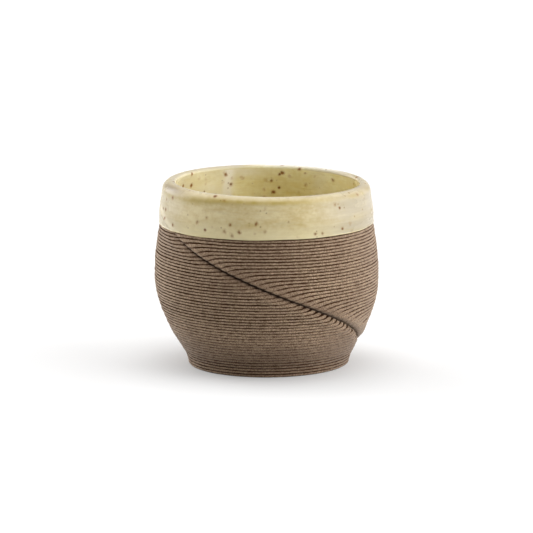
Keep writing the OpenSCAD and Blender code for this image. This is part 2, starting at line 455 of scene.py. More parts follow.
def across_front(angle, distance):
    """1 on the front of the cup, 0 from its sides on. Below the fold it ends sooner at the right."""
    a = from_front(angle)
    end = np.where(distance > 0.0, *FRONT_END)
    return rise(a, *FRONT_LEFT) * rise(a, end, end - FRONT_FADE)


def fold_stain(angle, z, distance):
    """Painted shade beside the fold across the front, and painted shadow just below its lip where it is
    high.
    """
    strength = np.where(distance > 0.0, *FOLD_STAIN)
    front = strength * across_front(angle, distance) * bell(distance, BESIDE_FOLD)
    lip = sum(amount * bell(distance, reach) for amount, reach in UNDER_LIP)
    return fold_amount(angle, z) * (front + np.where(distance < 0.0, lip * (1.0 - fold_low(z)), 0.0))


def groove_shade(angle, z, distance, depth):
    """Painted shade in the grooves: by their depth, less at the right and beside the fold across the front.
    """
    amount = fold_amount(angle, z)
    right = 1.0 - RIGHT_PALE * right_side(angle, *RIGHT_PALE_FROM)
    pale = np.where(distance > 0.0, *FOLD_PALE) * bell(distance, BESIDE_FOLD)
    front = 1.0 - amount * across_front(angle, distance) * pale
    teeth = 1.0 + TEETH_DARK * amount * fold_low(z) * bell(distance - TEETH_DARK_AT, TEETH_DARK_REACH)
    return depth / GROOVE * right * front * teeth


# The wall

# Columns on one side of the fold: between which distances from it they lie, and in how many steps
NEAR_COLUMNS, FAR_COLUMNS = ((0.0, 0.5, 8), (0.5, 3.0, 18), (3.0, 6.0, 13)), 95

# How far printed layers go on under the glaze, and the height over which they start to drift
UNDER_GLAZE, SETTLE = 1.5, 1.5

# Rows of points on the hidden faces of the wall
HIDDEN_TOP_ROWS, HIDDEN_INSIDE_ROWS = 12, 56


def fold_columns():
    """Distances of the wall's columns from the fold, up and down, packed towards it, for one full turn."""
    half_turn = 180.0 * FOLD_DROP
    bands = NEAR_COLUMNS + ((NEAR_COLUMNS[-1][1], half_turn, FAR_COLUMNS),)
    side = np.concatenate([np.linspace(start, end, steps + 1)[1:] for start, end, steps in bands])
    return np.concatenate([-side[::-1][1:], [0.0], side])[None, :]


def column_angle(column, z):
    """Angle at which a column, which slants as the fold does, passes a height."""
    return (FOLD_FRONT_Z + column - z) / FOLD_DROP


def hidden_wall(column, start):
    """Points of the wall under the glaze: from a height up to the clay's top, and down the inside."""
    top_z = np.linspace(start, CLAY_TOP, HIDDEN_TOP_ROWS)[1:, None]
    inside_z = np.linspace(CLAY_TOP, FLOOR_T, HIDDEN_INSIDE_ROWS)[:, None]
    z = np.concatenate([top_z, inside_z])
    r = np.concatenate([clay_r(top_z), inside_r(inside_z)]) - CREST_INSET
    return around(column_angle(column, z), r, z + 0.0 * column)


def clay_wall(material):
    """The wall: printed layers with the fold outside, plain where the glaze hides it."""
    height, layer, groove = layer_rows(FLOOR_LAYERS, math.ceil((GLAZE_Z + UNDER_GLAZE) / LAYER))
    column = fold_columns()
    even_z = height * LAYER
    even_angle = column_angle(column, even_z)
    distance = even_z - fold_z(even_angle)
    spot = (even_angle, even_z, distance)
    settle = rise(even_z, FLOOR_T, FLOOR_T + SETTLE)
    z = even_z + settle * layer_drift(even_angle, layer) + fold_pull(*spot)
    angle = column_angle(column, z)
    depth = groove * groove_depth(z) * groove_change(*spot)
    crest = np.minimum(clay_r(z) + side_relief(angle, z, distance) + layer_wobble(angle, layer), BELLY_R)
    r = crest - CREST_INSET - depth + fold_relief(*spot)
    hidden = hidden_wall(column, z[-1].mean())
    points = np.concatenate([around(angle, r, z, lean=lean_at(z)), hidden])
    # The marks are painted shade: in the grooves, in the crease, and elsewhere on the clay
    marks = {"groove": groove_shade(*spot, depth), "crease": crease_mark(*spot, groove),
             "stain": stain_mark(angle, z) + fold_stain(*spot)}
    blank = np.zeros(hidden.shape[:2])
    values = {key: np.concatenate([mark, blank]) for key, mark in marks.items()}
    place(grid_mesh("wall", points, values), "clay_wall", material)


# The floor

# The underside: its rows, how far inside the edge it ends, and the spiral line of printing: pitch, depth,
# sharpness, the radius over which it starts, and how dark it is
UNDER_ROWS, UNDER_INSET = 120, 0.4
SPIRAL_PITCH, SPIRAL_DEPTH, SPIRAL_SHARPNESS = 2.2, 0.12, 4
SPIRAL_START, SPIRAL_DARK = (0.0, 3.0), 0.6

# How far the flat top ends inside the side's upper edge
TOP_INSET = 1.0


def stacked(*stretches):
    """Stretches of rows put together, each spread over all columns."""
    return np.concatenate([np.broadcast_to(rows, (len(rows), ROUND.shape[1])) for rows in stretches])


def floor_slab(material):
    """The floor: printed layers at its side, and the spiral line of printing on its underside."""
    height, layer, groove = layer_rows(0, FLOOR_LAYERS)
    side_z = height * LAYER
    depth = groove * groove_depth(side_z)
    side_r = clay_r(side_z) - depth + layer_wobble(ROUND, layer) - CREST_INSET
    under_r = np.linspace(0.0, side_r[0].mean() - UNDER_INSET, UNDER_ROWS)[:, None]
    line = 0.5 - 0.5 * np.cos(2.0 * math.pi * (under_r / SPIRAL_PITCH - ROUND / 360.0))
    line = line**SPIRAL_SHARPNESS
    under_z = SPIRAL_DEPTH * line * rise(under_r, *SPIRAL_START)
    top_r = np.array([side_r[-1].mean() - TOP_INSET, 0.0])[:, None]
    r = stacked(under_r, side_r, top_r)
    z = stacked(under_z, side_z, np.full_like(top_r, FLOOR_T))
    # The groove mark holds the spiral line's dark and the layers' painted groove shade
    marks = stacked(SPIRAL_DARK * line, depth / GROOVE, np.zeros_like(top_r))
    values = {"groove": marks, "crease": 0.0, "stain": stain_mark(ROUND, z)}
    place(grid_mesh("floor", around(ROUND, r, z, lean=1.0), values), "floor_slab", material)


# Shape of the glaze

# Thickness of the band and its lower edge, heights over which it grows, thickness of the lining, its cove
COLLAR_T, COLLAR_EDGE_T, COLLAR_GROWS = 0.7, 0.25, (GLAZE_Z, GLAZE_Z + 4.0)
LINING_T, COVE = 0.35, 3.0

# The lip: how far it reaches down outside and inside, and how far its crest is from the inside
LIP_OUT, LIP_IN, LIP_CREST = 2.3, 1.0, 1.1
BAND_TOP, BORE_TOP = HEIGHT - LIP_OUT, HEIGHT - LIP_IN

# The mouth: how far it is off the axis and how much narrower, and heights over which this grows
BORE_SHIFT, BORE_NARROW, BORE_GROWS = 0.33, 0.28, (GLAZE_Z, GLAZE_Z + 10.0)

# What is left of the layers under the glaze, and how much that varies from layer to layer
RIPPLE, RIPPLE_RANGE = 0.006, (0.5, 1.5)

# Waves in the coat, how far the band lies in for them, where they end below the lip, and in its lower edge
FLOWS = ((9.0, 0.03, 0.21), (23.0, 0.02, -0.13), (4.0, 0.02, 0.5))
FLOW_INSET, FLOW_TOP = 0.05, (BAND_TOP, BAND_TOP - 2.5)
EDGE_WAVES = ((1.0, 0.18, 0.0), (3.0, 0.07, 1.0), (11.0, 0.05, 0.0))

# The fold's ridge under the glaze: how far it stands out, its reach up and down, and where it ends
RIDGE, RIDGE_REACH = 0.5, (1.0, 0.55)
RIDGE_RIGHT, RIDGE_LEFT, RIDGE_TOP = (-40.0, -50.0), (-125.0, -100.0), (51.0, 47.0)

# Rows of points on the bead at the band's lower edge, the band, the lip and the inside above the lining
BEAD_ROWS, BAND_ROWS, LIP_ROWS, BORE_ROWS = 7, 64, 33, 24

# The bead: its height, its turn in degrees, the turn in radians by which the fold's ridge fades in on it,
# and how far above it the band starts
BEAD_H, BEAD_TURN, RIDGE_TURN, BAND_START = 0.3, (90.0, 10.0), (1.5, 0.0), 0.1

# The hidden face of the band: how far it lies in the clay, and where it ends above the band's lower edge
BAND_SUNK, BAND_HIDDEN_END = 0.15, 1.0

# Rows of points on the lining, the step between those on its wall, and how far it stays off the clay
COVE_ROWS, LINING_FLOOR_ROWS, LINING_HIDDEN_ROWS = 14, 16, 30
LINING_STEP, LINING_GAP = LAYER / 4.0, 0.02

# Edges of the glaze that bend by more than this are not smoothed over
GLAZE_SHARP = 50.0


def ripple(z):
    """What is left of the layers' ridges under the glaze."""
    strength = mix(*RIPPLE_RANGE, layer_chance(np.floor(z / LAYER), RIPPLE_SALT))
    return RIPPLE * strength * np.cos(2.0 * math.pi * z / LAYER)


def glaze_ridge(angle, z):
    """The fold showing softly through the glaze, above and to the left of where it comes out."""
    a = from_front(angle)
    distance = z - fold_z(a)
    shape = bell(distance, np.where(distance > 0.0, *RIDGE_REACH))
    return RIDGE * shape * rise(a, *RIDGE_RIGHT) * rise(a, *RIDGE_LEFT) * rise(z, *RIDGE_TOP)


def band_r(z):
    """Outside radius of the glazed band."""
    return clay_r(z) + mix(COLLAR_EDGE_T, COLLAR_T, rise(z, *COLLAR_GROWS))


def bore_r(z):
    """Inside radius of the glaze."""
    return inside_r(z) - LINING_T - BORE_NARROW * rise(z, *BORE_GROWS)


def bore_shift(z):
    """How far the mouth's centre is off the axis."""
    return BORE_SHIFT * rise(z, *BORE_GROWS)


# Marks on the glaze

# Painted light inside: clear reflections all the way down, a soft one between two heights, and one near the
# rim
CLEAR_RUNS = ((1.3, -155.0, 3.4), (0.3, 146.0, 5.0))
SOFT_RUN, SOFT_RUN_TOP, SOFT_RUN_LOW = (0.55, -143.0, 12.0), (54.0, 50.0), (36.0, 44.0)
RIM_RUN, RIM_RUN_LOW = (0.5, -168.0, 13.0), (51.0, 53.5)

# Olive glaze inside, with painted shade at the right: at the left and the right, at the rim and lower down,
# where the right starts, as the angle's sine, stronger places with strength, angle and width, and the floor
POOL_SIDES, POOL_DOWN, POOL_DOWN_Z = (0.03, 0.33), (0.3, 1.05), (HEIGHT - 1.0, HEIGHT - 9.0)
POOL_RIGHT = (-0.5, 0.2)
POOL_PLACES, POOL_FLOOR = ((0.5, 160.0, 12.0), (3.6, 107.0, 14.0)), 0.3

# Painted grey shade where the lamps are strong: outside at the right and at the left, and inside at the
# left
THIN_RIGHT, THIN_RIGHT_FROM = 0.9, (15.0, 55.0)
THIN_LEFT, THIN_LEFT_FROM = 0.55, (40.0, 65.0)
INSIDE_THIN = (0.65, -114.0, 20.0)

# Thin glaze on the lip, greyed further as painted shade: where it ends at the back, the turn in radians
# where it is thinnest, the reach of that, how much is lost from there to the inside, and how far it goes on
# inside
CREST_THIN_RIGHT, CREST_THIN_LEFT = (105.0, 135.0), (-160.0, -180.0)
CREST_TURN, CREST_TURN_REACH, CREST_LOSS = 2.0, 1.1, 0.55
BORE_THIN, BORE_THIN_REACH = 0.45, 3.0

# Painted highlight on the lip: at the front, towards the back at the right and at the left, and on which
# turn
CREST_RUN, CREST_RUN_RIGHT, CREST_RUN_LEFT = (0.3, -20.0, 35.0), (110.0, 145.0), (-165.0, -180.0)
RUN_TURN, RUN_TURN_REACH = 1.85, 0.7

# Olive glaze under the crest of the lip, and painted shade on its roll at the left: how much all round, and
# more at some places. At the left, between two angles, it lies lower and is wider
CREST_POOL = 0.1
CREST_POOLS = ((0.95, -8.0, 38.0), (0.4, -46.0, 14.0), (0.6, -68.0, 17.0), (0.6, 66.0, 18.0))
POOL_LEFT_START, POOL_LEFT_END = (-20.0, -45.0), (-110.0, -80.0)
CREST_POOL_DROP, CREST_POOL_REACH = (1.4, 2.2), (0.85, 1.3)

# Painted grey shade: at the right side, and on the lip at the left and the right, with the turn and its
# reach
SIDE_WORN = (0.24, 74.0, 14.0)
LIP_WORN = (((0.95, -68.0, 17.0), 0.7, 0.55), ((0.3, 26.0, 20.0), 1.3, 0.5))

# A faint olive line round the band, thicker glaze near its lower edge, how specked the outside is against
# the inside, and where the specks end at the lip
LINE_POOL, LINE_Z, LINE_REACH = 0.25, GLAZE_Z + 4.6, 1.1
THICK, THICK_Z, THICK_REACH = 0.8, GLAZE_Z + 1.0, 2.2
SPECKED_OUTSIDE, SPECKED_TOP = 0.55, (HEIGHT - 1.2, HEIGHT - 2.7)

# The turn's cosine where the lip goes over to the inside's colour
INSIDE_FROM = (-0.4, -0.9)


def run_mark(angle, z):
    """Painted light inside: a clear painted reflection at the back left, and softer ones."""
    soft = patch(angle, *SOFT_RUN) * rise(z, *SOFT_RUN_TOP) * rise(z, *SOFT_RUN_LOW)
    rim = patch(angle, *RIM_RUN) * rise(z, *RIM_RUN_LOW)
    return patches(angle, CLEAR_RUNS) + soft + rim


def pool_mark(angle, z):
    """Thick olive glaze inside, and painted shade: more at the right, most right of the middle, and lower.
    """
    a = from_front(angle)
    right = rise(np.sin(np.radians(angle)), *POOL_RIGHT)
    right = right + sum(strength * bell(a - at, width) for strength, at, width in POOL_PLACES)
    return mix(*POOL_SIDES, right) * mix(*POOL_DOWN, rise(z, *POOL_DOWN_Z))


def thin_mark(angle):
    """Painted grey shade on the glaze outside: at the right, and a little at the left."""
    left = THIN_LEFT * right_side(-angle, *THIN_LEFT_FROM)
    return THIN_RIGHT * right_side(angle, *THIN_RIGHT_FROM) + left


def crest_thin(angle):
    """Where thin glaze and painted shade grey the lip's crest: nearly all round, but not at the back right.
    """
    a = from_front(angle)
    return 1.0 - rise(a, *CREST_THIN_RIGHT) - rise(a, *CREST_THIN_LEFT)


def turn_thin(turn):
    """How far the lip is greyed at a turn: it grows up to the crest and fades a little to the inside."""
    inner = 1.0 - CREST_LOSS * rise(turn, CREST_TURN, CREST_TURN + CREST_TURN_REACH)
    return np.where(turn < CREST_TURN, bell(turn - CREST_TURN, CREST_TURN_REACH), inner)


def crest_run(angle):
    """Painted highlight on the crest of the lip: a little at the front, more at the back right."""
    a = from_front(angle)
    return patch(angle, *CREST_RUN) + rise(a, *CREST_RUN_RIGHT) + rise(a, *CREST_RUN_LEFT)


def crest_pool(angle, z):
    """Olive under the lip's crest: pooled glaze across the front, painted shade lower and wider at the
    left.
    """
    a = from_front(angle)
    left = rise(a, *POOL_LEFT_START) * rise(a, *POOL_LEFT_END)
    below = z - (HEIGHT - mix(*CREST_POOL_DROP, left))
    return (CREST_POOL + patches(angle, CREST_POOLS)) * bell(below, mix(*CREST_POOL_REACH, left))


def crest_worn(angle, turn):
    """Painted grey shade on the lip: on its roll at the left, and on top at the front right."""
    return sum(patch(angle, *where) * bell(turn - at, reach) for where, at, reach in LIP_WORN)


# The pieces of glaze


def section(r, z, shift=0.0, **marks):
    """Rows of a glaze piece: radii, heights, shift to the right, and marks, which are 0 unless given."""
    rows = {"r": r, "z": z, "shift": shift, "inside": 0.0, "run": 0.0, "thin": 0.0, "worn": 0.0, **marks}
    shape = np.broadcast(r, z, ROUND).shape
    return {key: np.broadcast_to(value, shape) for key, value in rows.items()}


def joined(*sections):
    """Sections of a glaze piece as one set of rows."""
    return {key: np.concatenate([part[key] for part in sections]) for key in sections[0]}


def glaze_piece(name, rows, node, material):
    """A piece of glaze from its rows. All of them but the shape are its marks."""
    points = around(ROUND, rows.pop("r"), rows.pop("z"), rows.pop("shift"))
    place(grid_mesh(name, points, rows, GLAZE_SHARP), node, material)


def bead():
    """The rounded lower edge of the band."""
    turn = np.radians(np.linspace(*BEAD_TURN, BEAD_ROWS))[:, None]
    z = GLAZE_Z + waves(ROUND, EDGE_WAVES) + BEAD_H * (1.0 - np.sin(turn))
    r = clay_r(z) - CREST_INSET + (COLLAR_EDGE_T + CREST_INSET) * np.cos(turn)
    ridge = glaze_ridge(ROUND, z) * np.cos(np.linspace(*RIDGE_TURN, BEAD_ROWS))[:, None]
    return section(r + ridge, z, worn=patch(ROUND, *SIDE_WORN))


def band(start):
    """The band outside, from the heights where it starts up to the lip."""
    z = mix(start, BAND_TOP, np.linspace(0.0, 1.0, BAND_ROWS, endpoint=False)[:, None])
    uneven = (ripple(z) + waves(ROUND, FLOWS, z) - FLOW_INSET) * rise(z, *FLOW_TOP)
    r = band_r(z) + glaze_ridge(ROUND, z) + uneven
    return section(r, z, thin=thin_mark(ROUND), worn=patch(ROUND, *SIDE_WORN))


def lip():
    """The rounded lip, from the band over its crest to the inside."""
    turn = np.radians(np.linspace(0.0, 180.0, LIP_ROWS))[:, None]
    outwards = np.cos(turn)
    crest_r = bore_r(BORE_TOP) + LIP_CREST
    z = HEIGHT - np.where(outwards > 0.0, LIP_OUT, LIP_IN) * (1.0 - np.sin(turn))
    r = crest_r + np.where(outwards > 0.0, band_r(z) - crest_r, LIP_CREST) * outwards
    return section(r, z, bore_shift(BORE_TOP) * (1.0 - outwards) / 2.0,
                   inside=rise(outwards, *INSIDE_FROM),
                   run=bell(turn - RUN_TURN, RUN_TURN_REACH) * crest_run(ROUND),
                   thin=np.maximum(thin_mark(ROUND), turn_thin(turn) * crest_thin(ROUND)),
                   worn=patch(ROUND, *SIDE_WORN) + crest_worn(ROUND, turn))


def bore():
    """The inside, from the lip down to the lining."""
    z = np.linspace(BORE_TOP, LINING_TOP, BORE_ROWS)[1:, None]
    near_lip = BORE_THIN * bell(z - BORE_TOP, BORE_THIN_REACH) * crest_thin(ROUND)
    return section(bore_r(z) - ripple(z), z, bore_shift(z), inside=1.0, run=run_mark(ROUND, z),
                   thin=np.maximum(patch(ROUND, *INSIDE_THIN), near_lip))


def under_collar():
    """The hidden face, which lies on the clay inside, on its top and outside."""
    inner_z = np.array([LINING_TOP, CLAY_TOP])[:, None]
    outer_z = np.array([CLAY_TOP, GLAZE_Z + BAND_HIDDEN_END])[:, None]
    r = np.concatenate([inside_r(inner_z), clay_r(outer_z) - BAND_SUNK])
    return section(r, np.concatenate([inner_z, outer_z]))


def glaze_collar(material):
    """Glaze over the rim: the band outside, the lip and the top of the inside."""
    edge = bead()
    rows = joined(edge, band(edge["z"][-1:] + BAND_START), lip(), bore(), under_collar())
    z, inside = rows["z"], rows["inside"]
    outside_pool = crest_pool(ROUND, z) + LINE_POOL * bell(z - LINE_Z, LINE_REACH)
    rows["pool"] = mix(outside_pool, pool_mark(ROUND, z), inside)
    rows["thick"] = THICK * bell(z - THICK_Z, THICK_REACH) * (1.0 - inside)
    rows["specked"] = mix(SPECKED_OUTSIDE, 1.0, inside) * rise(z, *SPECKED_TOP)
    glaze_piece("rim_glaze", rows, "glaze_collar", material)


def glaze_lining(material):
    """Glaze inside: down the wall, round a cove and over the floor, and back along the clay, hidden."""
    floor_z = FLOOR_T + LINING_T
    wall_z = np.arange(LINING_TOP, floor_z + COVE, -LINING_STEP)[:, None]
    cove_z = np.linspace(floor_z + COVE, floor_z, COVE_ROWS)[:, None]
    cove_share = (cove_z - floor_z) / COVE
    cove_r = bore_r(cove_z) - COVE * (1.0 - cove_share) ** 2
    floor_r = np.linspace(cove_r[-1, 0], 0.0, LINING_FLOOR_ROWS)[1:, None]
    low = FLOOR_T + LINING_GAP
    hidden_z = np.append(low, np.linspace(low, LINING_TOP, LINING_HIDDEN_ROWS))[:, None]
    hidden_r = inside_r(hidden_z) - LINING_GAP
    hidden_r[0] = 0.0
    rows = joined(
        section(bore_r(wall_z) - ripple(wall_z), wall_z, bore_shift(wall_z), run=run_mark(ROUND, wall_z)),
        section(cove_r, cove_z, run=run_mark(ROUND, cove_z) * cove_share),
        section(floor_r, floor_z),
        section(hidden_r, hidden_z))
    flat = rise(rows["z"], floor_z + 2.0 * COVE, floor_z)
    rows.update(inside=1.0, thick=0.0, specked=1.0, thin=patch(ROUND, *INSIDE_THIN) * (1.0 - flat),
                pool=mix(pool_mark(ROUND, rows["z"]), POOL_FLOOR, flat))
    glaze_piece("lining", rows, "glaze_lining", material)


# Materials


class Shader:
    """Short names for building a node tree."""

    def __init__(self, tree):
        self.tree = tree
        tree.nodes.clear()

    def node(self, kind, **settings):
        n = self.tree.nodes.new(kind)
        for key, value in settings.items():
            setattr(n, key, value)
        return n

    def put(self, socket, value):
        if isinstance(value, bpy.types.NodeSocket):
            self.tree.links.new(value, socket)
        else:
            socket.default_value = value

    def math(self, operation, *values):
        n = self.node("ShaderNodeMath", operation=operation)
        for socket, value in zip(n.inputs, values):
            self.put(socket, value)
        return n.outputs[0]

    def vector(self, operation, a, b):
        n = self.node("ShaderNodeVectorMath", operation=operation)
        self.put(n.inputs[0], a)
        self.put(n.inputs[1], b)
        return n

    def blend(self, share, a, b):
        n = self.node("ShaderNodeMix", data_type="RGBA", blend_type="MIX")
        self.put(n.inputs["Factor"], share)
        self.put(n.inputs[6], a)
        self.put(n.inputs[7], b)
        return n.outputs[2]

    def step(self, value, low, high, to_low=0.0, to_high=1.0):
        n = self.node("ShaderNodeMapRange", interpolation_type="SMOOTHSTEP")
        for socket, number in zip(n.inputs, (value, low, high, to_low, to_high)):
            self.put(socket, number)
        return n.outputs[0]

    def noise(self, scale, detail=2.0, roughness=0.5, tall=1.0):
        """Soft noise of so many grains per metre. Its grains are tall times as high as they are wide."""
        stretched = self.vector("MULTIPLY", self.place(), (1.0, 1.0, 1.0 / tall))
        n = self.node("ShaderNodeTexNoise")
        self.put(n.inputs["Vector"], stretched.outputs[0])
        self.put(n.inputs["Scale"], scale)
        self.put(n.inputs["Detail"], detail)
        self.put(n.inputs["Roughness"], roughness)
        return n.outputs[0]

    def specks(self, per_metre, fewest, radius, soft):
        """1 inside specks with soft, ragged edges, 0 between them.

        The higher fewest is, up to 1, the fewer specks there are.
        """
        spots = self.node("ShaderNodeTexVoronoi", feature="F1")
        self.put(spots.inputs["Vector"], self.place())
        self.put(spots.inputs["Scale"], per_metre)
        parts = self.node("ShaderNodeSeparateColor")
        self.put(parts.inputs[0], spots.outputs["Color"])
        size = self.step(parts.outputs[0], fewest, 1.0, -soft, radius)
        grain = self.noise(3.0 * per_metre, detail=1.0)
        ragged = self.math("MULTIPLY_ADD", grain, 2.0 * soft, spots.outputs["Distance"])
        return self.step(self.math("SUBTRACT", size, ragged), -1.5 * soft, 0.5 * soft)

    def place(self):
        return self.node("ShaderNodeTexCoord").outputs["Object"]

    def mark(self, name):
        return self.node("ShaderNodeAttribute", attribute_name=name).outputs["Fac"]

    def principled(self, **inputs):
        """A surface whose inputs are named with _ for each space."""
        n = self.node("ShaderNodeBsdfPrincipled")
        for key, value in inputs.items():
            self.put(n.inputs[key.replace("_", " ")], value)
        return n

    def show(self, surface, kind="ShaderNodeOutputMaterial"):
        self.put(self.node(kind).inputs["Surface"], surface.outputs[0])


def new_material(name):
    """An empty material and the shader that builds it."""
    material = bpy.data.materials.new(name)
    material.use_nodes = True
    return material, Shader(material.node_tree)


def rgb(r, g, b):
    """A colour as seen, 0 to 255, in the linear numbers that shaders use."""
    def linear(c):
        c /= 255.0
        return c / 12.92 if c <= 0.04045 else ((c + 0.055) / 1.055) ** 2.4
    return linear(r), linear(g), linear(b), 1.0


def grey(level):
    """A grey in linear numbers."""
    return level, level, level, 1.0


# Colours of the clay, and of its painted shade
GRAIN_DARK, GRAIN_PALE = rgb(142, 115, 90), rgb(227, 196, 163)
CLAY_PATCH = rgb(146, 118, 95)
# Painted shade: in the grooves, on the clay near the table and beside the fold, and in the crease
GROOVE_DARK, STAIN_DARK, CREASE_BLACK = rgb(62, 38, 22), rgb(81, 56, 39), rgb(38, 23, 14)

# Grains per metre of the clay's fine grain, its patches and its unevenness along the layers
GRAIN_SCALE, PATCH_SCALE, UNEVEN_SCALE = 3300.0, 110.0, 620.0

# How much of full painted shade shows, and height of the bumps that the grain makes, in metres
STAIN_SHARE, BUMP_HEIGHT = 0.4, 0.0001

# Colours of the glaze: outside, inside (painted light), where it is thick, thin and painted shade, and in
# its streaks
CREAM_DARK, CREAM_PALE = rgb(229, 206, 147), rgb(250, 234, 186)
INSIDE_DARK, INSIDE_PALE = rgb(240, 228, 171), rgb(253, 247, 208)
THICK_CREAM, THIN_GREY = rgb(252, 237, 186), rgb(204, 192, 166)
STREAK_PALE, STREAK_DARK = rgb(240, 228, 190), rgb(204, 184, 118)

# Colours of pools and painted shade, painted light, painted grey shade, specks, their halos and fine specks
OLIVE, RUN_WHITE, WORN_GREY = rgb(196, 172, 92), rgb(253, 248, 234), rgb(168, 150, 121)
SPECK, HALO, FINE_SPECK = rgb(132, 84, 40), rgb(178, 128, 58), rgb(140, 94, 44)

# Grains per metre of the glaze's patches, mottle, fine mottle and streaks, and of its pools and painted
# light
GLAZE_PATCHES, MOTTLE, FINE_MOTTLE, STREAKS = 75.0, 260.0, 800.0, 90.0
POOL_GRAIN, RUN_GRAIN = 130.0, 200.0

# Places for specks and for fine specks, per metre
SPECK_SCALE, FINE_SPECK_SCALE = 400.0, 600.0


def clay_material():
    """Bare fired clay: warm brown, with painted shade in the grooves and a fine pale grain on the crests.
    """
    material, s = new_material("bare_clay")
    grain = s.noise(GRAIN_SCALE, roughness=0.6)
    uneven = s.step(s.noise(UNEVEN_SCALE, tall=0.3), 0.3, 0.7, -0.14, 0.14)
    colour = s.blend(s.step(grain, 0.36, 0.66), GRAIN_DARK, GRAIN_PALE)
    patchy = s.step(s.noise(PATCH_SCALE, detail=3.0), 0.35, 0.7, 0.0, 0.3)
    colour = s.blend(patchy, colour, CLAY_PATCH)
    # Painted shade in the grooves
    dark = s.step(s.math("ADD", s.mark("groove"), uneven), 0.02, 0.72)
    colour = s.blend(dark, colour, GROOVE_DARK)
    # Painted shade near the table, under the glaze, at the sides and beside the fold
    colour = s.blend(s.math("MULTIPLY", s.mark("stain"), STAIN_SHARE), colour, STAIN_DARK)
    # Painted shade in the crease
    crease = s.step(s.mark("crease"), 0.1, 1.0)
    colour = s.blend(crease, colour, CREASE_BLACK)
    sheltered = s.math("MAXIMUM", dark, crease)
    bump = s.node("ShaderNodeBump")
    s.put(bump.inputs["Strength"], 0.5)
    s.put(bump.inputs["Distance"], BUMP_HEIGHT)
    s.put(bump.inputs["Height"], grain)
    s.show(s.principled(Base_Color=colour, Roughness=0.8, Normal=bump.outputs[0], Sheen_Roughness=0.5,
                        Specular_IOR_Level=s.step(sheltered, 0.0, 1.0, 0.25, 0.0),
                        Sheen_Weight=s.step(sheltered, 0.0, 1.0, 0.3, 0.0)))
    return material


def glaze_colour(s, patchy):
    """Cream, painted paler inside, with thick, thin and streaked places, pools, painted light and painted
    shade.
    """
    mottle = s.noise(MOTTLE, detail=3.0, roughness=0.6, tall=0.4)
    streaks = s.noise(STREAKS, detail=3.0, roughness=0.6, tall=0.14)
    uneven = s.math("MULTIPLY_ADD", mottle, 0.4, s.math("MULTIPLY", patchy, 0.35))
    tone = s.step(s.math("MULTIPLY_ADD", s.noise(FINE_MOTTLE), 0.25, uneven), 0.36, 0.64)
    # Inside, the glaze has paler colours, as painted light in the cup
    colour = s.blend(s.mark("inside"), s.blend(tone, CREAM_DARK, CREAM_PALE),
                     s.blend(tone, INSIDE_DARK, INSIDE_PALE))
    colour = s.blend(s.mark("thick"), colour, THICK_CREAM)
    # Thin glaze on the crest, and painted grey shade where the lamps are strong
    colour = s.blend(s.mark("thin"), colour, THIN_GREY)
    colour = s.blend(s.step(streaks, 0.5, 0.7, 0.0, 0.3), colour, STREAK_PALE)
    colour = s.blend(s.step(streaks, 0.48, 0.28, 0.0, 0.25), colour, STREAK_DARK)
    pool_grain = s.step(s.noise(POOL_GRAIN, detail=3.0), 0.35, 0.62, 0.5, 1.0)
    # Olive pooled glaze, and painted shade on the lip's roll at the left and inside at the right
    colour = s.blend(s.math("MULTIPLY", s.mark("pool"), pool_grain), colour, OLIVE)
    # Painted light: reflections and paler glaze inside, and a highlight on the lip's crest
    run_grain = s.step(s.noise(RUN_GRAIN), 0.3, 0.7, 0.75, 1.0)
    colour = s.blend(s.math("MULTIPLY", s.mark("run"), run_grain), colour, RUN_WHITE)
    # Painted grey shade at the right side and on the lip
    return s.blend(s.mark("worn"), colour, WORN_GREY)


def glaze_material():
    """Glossy cream glaze with brown iron specks, which have soft halos, and finer specks between them."""
    material, s = new_material("cream_glaze")
    patchy = s.noise(GLAZE_PATCHES, detail=3.0, tall=0.5)
    colour = glaze_colour(s, patchy)
    fewest = s.step(s.mark("specked"), 0.0, 1.0, 0.6, -0.45)
    halo = s.math("MULTIPLY", s.specks(SPECK_SCALE, fewest, 0.4, 0.16), 0.5)
    colour = s.blend(halo, colour, HALO)
    colour = s.blend(s.specks(SPECK_SCALE, fewest, 0.26, 0.1), colour, SPECK)
    fine = s.math("MULTIPLY", s.specks(FINE_SPECK_SCALE, 0.5, 0.2, 0.1), 0.6)
    colour = s.blend(fine, colour, FINE_SPECK)
    s.show(s.principled(Base_Color=colour, Roughness=s.step(patchy, 0.3, 0.7, 0.22, 0.3),
                        Specular_IOR_Level=0.38))
    return material


# Stage

# Light walls: name, middle and half width round the cup, lowest and highest elevation, strength
LIGHTS = (
    ("front_low", -4.0, 48.0, -10.0, 35.0, 0.37),
    ("front_high", -4.0, 48.0, 35.0, 65.0, 0.18),
    ("right_front", 53.0, 9.0, -10.0, 65.0, 2.35),
    ("right_low", 82.0, 20.0, -10.0, 35.0, 4.5),
    ("right_high", 82.0, 20.0, 35.0, 65.0, 2.35),
    ("right_back_low", 126.0, 24.0, -10.0, 25.0, 2.4),
    ("right_back_high", 126.0, 24.0, 25.0, 65.0, 1.6),
    ("back_low", 180.0, 30.0, -10.0, 25.0, 0.2),
    ("back_high", 180.0, 30.0, 25.0, 65.0, 0.9),
    ("left_back_low", -126.0, 24.0, -10.0, 25.0, 4.1),
    ("left_back_high", -126.0, 24.0, 25.0, 65.0, 2.6),
    ("left_low", -84.0, 18.0, -10.0, 35.0, 1.75),
    ("left_high", -84.0, 18.0, 35.0, 65.0, 0.85),
    ("left_front", -59.0, 7.0, -10.0, 65.0, 0.1),
    ("top", 0.0, 180.0, 65.0, 120.0, 2.1),
)

# Softness of the light walls' sides, and of their upper and lower edges
SOFT_SIDE, SOFT_TOP = 5.0, 8.0

# The pale back that glossy pieces show: its brightness, how far round it starts, and how high it ends
BACK_SHOWN, BACK_SIDE, BACK_TOP = 0.55, (100.0, 130.0), (40.0, 20.0)

